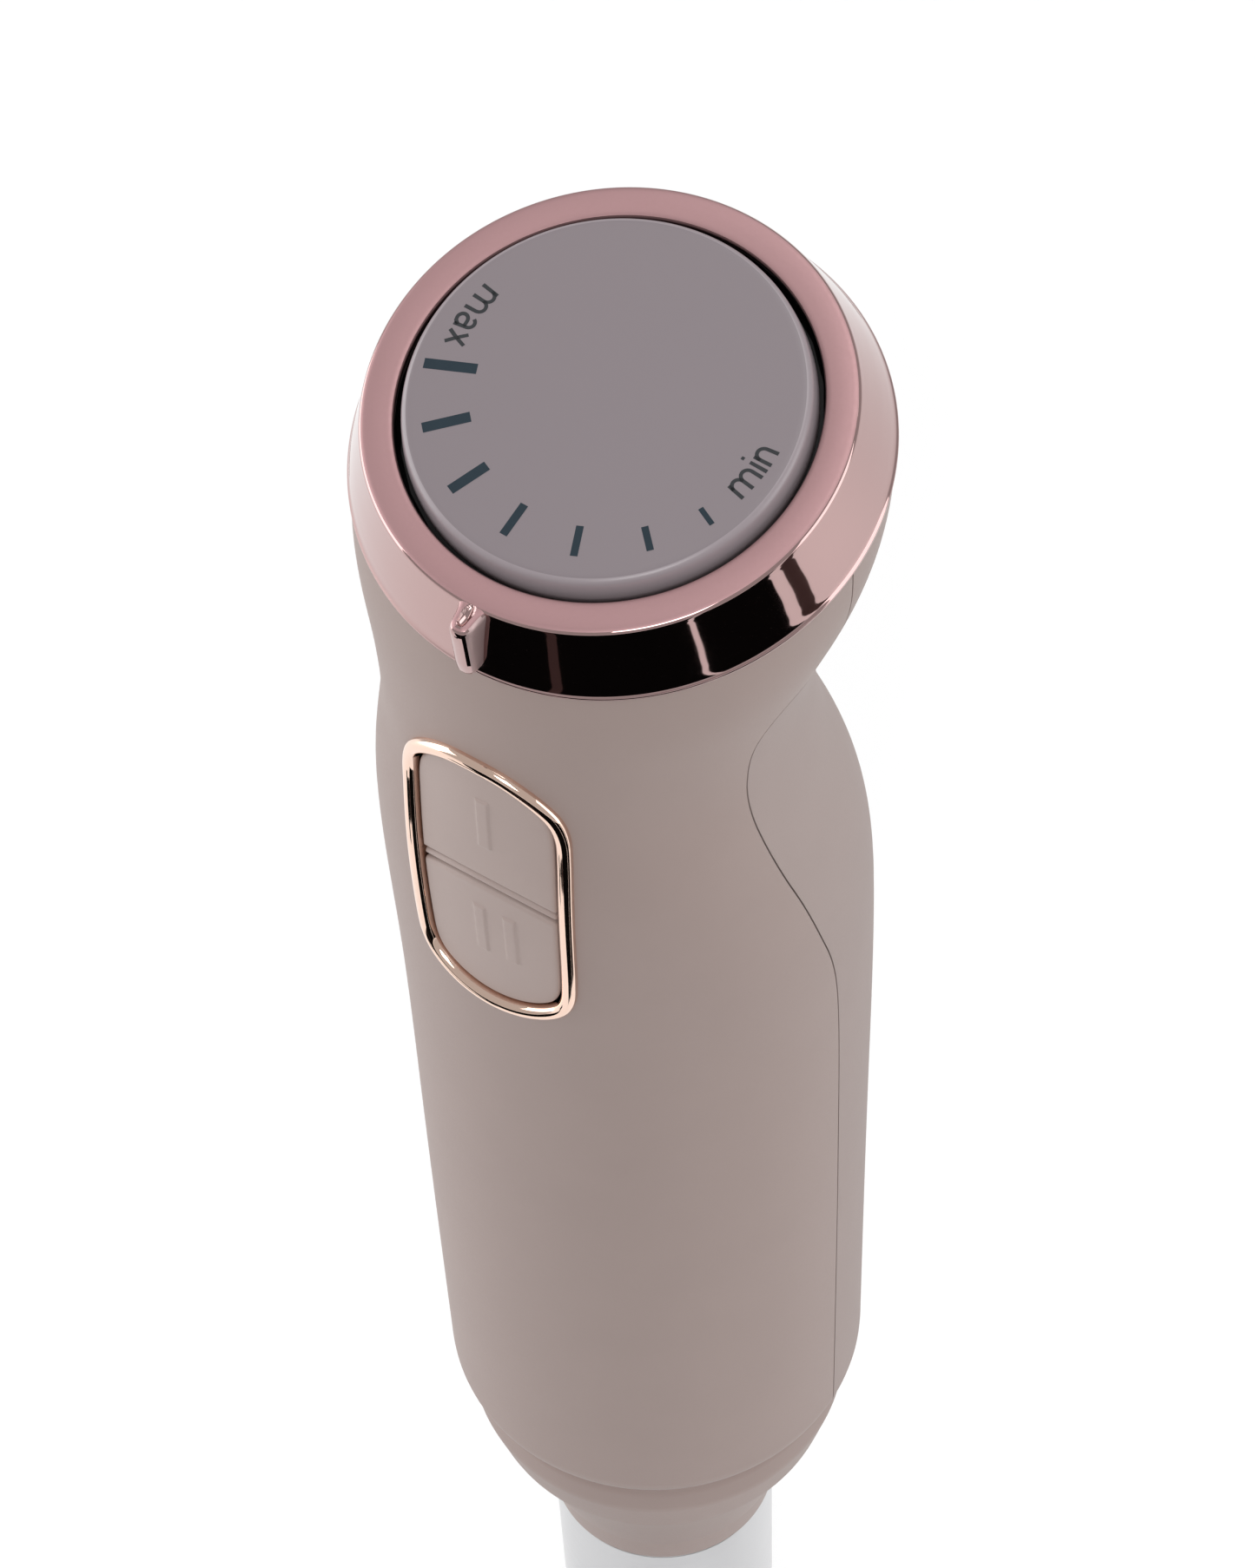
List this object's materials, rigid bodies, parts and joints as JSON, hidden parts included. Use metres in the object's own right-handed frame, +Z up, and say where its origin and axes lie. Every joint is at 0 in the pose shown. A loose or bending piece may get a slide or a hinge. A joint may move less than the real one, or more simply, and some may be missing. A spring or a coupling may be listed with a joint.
{
  "type": "hand blender",
  "caption": "Hand blender with a tilted speed dial, push buttons in an oval bezel, a soft-touch grip and a detachable blending foot with bell guard and blade.",
  "frame": {"origin": "centre of the bell guard's rim, on the plane it stands on", "axes": "+Z up along the body's axis, -Y towards the front with the buttons, +X to the right of somebody facing the front"},
  "size_m": [0.072, 0.072, 0.4034],
  "materials": {
    "shell_taupe": "satin soft-touch",
    "soft_grip": "soft-touch matt",
    "ring_rose": "mirror rose gold plating",
    "bezel_copper": "mirror copper plating",
    "dial_face": "satin",
    "black_plastic": "satin",
    "rubber": "matt",
    "steel": "polished",
    "foot_steel": "brushed",
    "blade_steel": "ground",
    "lamination": "plain",
    "copper_wire": "enamelled",
    "brass": "plain",
    "carbon": "matt",
    "circuit_board": "solder mask",
    "nylon": "plain"
  },
  "bodies": {
    "foot_assembly": {"bell_guard": "foot_steel", "foot_tube": "foot_steel", "foot_collar": "shell_taupe", "foot_bush_lower": "brass", "shaft_seal": "rubber", "foot_bush_upper": "nylon"},
    "blade_assembly": {"foot_drive_shaft": "steel", "driven_coupling": "nylon", "blade_hub": "steel", "blade": "blade_steel", "blade_screw": "steel"},
    "motor_unit": {"front_shell": "shell_taupe", "rear_grip_shell": "soft_grip", "rear_head_cover": "shell_taupe", "shell_screw_1": "steel", "shell_screw_2": "steel", "button_bezel": "bezel_copper", "button_divider": "shell_taupe", "dial_disc": "dial_face", "track_board": "circuit_board", "head_carrier": "black_plastic", "electronics_tray": "black_plastic", "control_board": "circuit_board", "capacitor": "black_plastic", "triac": "black_plastic", "heat_sink": "lamination", "terminal_block": "nylon", "switch_board": "circuit_board", "micro_switch_1": "black_plastic", "micro_switch_2": "black_plastic", "cord_gland": "rubber", "stator_core": "lamination", "field_coil_1": "copper_wire", "field_coil_2": "copper_wire", "lower_frame": "lamination", "upper_frame": "lamination", "motor_screw_1": "steel", "motor_screw_2": "steel", "lower_bearing": "steel", "upper_bearing": "steel", "lower_mount": "rubber", "brush_holder_1": "brass", "brush_holder_2": "brass", "carbon_brush_1": "carbon", "carbon_brush_2": "carbon", "end_cap": "black_plastic"},
    "rotor": {"motor_shaft": "steel", "armature_core": "lamination", "armature_winding_lower": "copper_wire", "armature_winding_upper": "copper_wire", "commutator": "brass", "cooling_fan": "black_plastic", "drive_dog": "nylon"},
    "dial_ring": {"speed_ring": "ring_rose", "ring_hub": "black_plastic", "dust_seal": "rubber", "contact_wiper": "brass"},
    "upper_button": {"button_1": "shell_taupe"},
    "lower_button": {"button_2": "shell_taupe"}
  },
  "joints": [
    {"name": "unit_lift_off", "type": "slide", "parent": "foot_assembly", "child": "motor_unit", "axis": [0, 0, 1], "range_m": [0, 0.045]},
    {"name": "speed_dial", "type": "hinge", "parent": "motor_unit", "child": "dial_ring", "pos_m": [0, 0, 0.396], "axis": [0, -0.2062, 0.9785], "range_deg": [-72, 72]},
    {"name": "button_1_press", "type": "slide", "parent": "motor_unit", "child": "upper_button", "axis": [0, 1, 0], "range_m": [0, 0.0013], "stiffness_N_per_m": 900},
    {"name": "button_2_press", "type": "slide", "parent": "motor_unit", "child": "lower_button", "axis": [0, 1, 0], "range_m": [0, 0.0013], "stiffness_N_per_m": 900},
    {"name": "rotor_spin", "type": "hinge", "parent": "motor_unit", "child": "rotor", "pos_m": [0, 0, 0.257], "axis": [0, 0, 1], "continuous": true},
    {"name": "blade_spin", "type": "hinge", "parent": "foot_assembly", "child": "blade_assembly", "pos_m": [0, 0, 0.1], "axis": [0, 0, 1], "continuous": true}
  ],
  "couplings": [
    {"joint": "blade_spin", "follows": "rotor_spin", "ratio": 1}
  ]
}
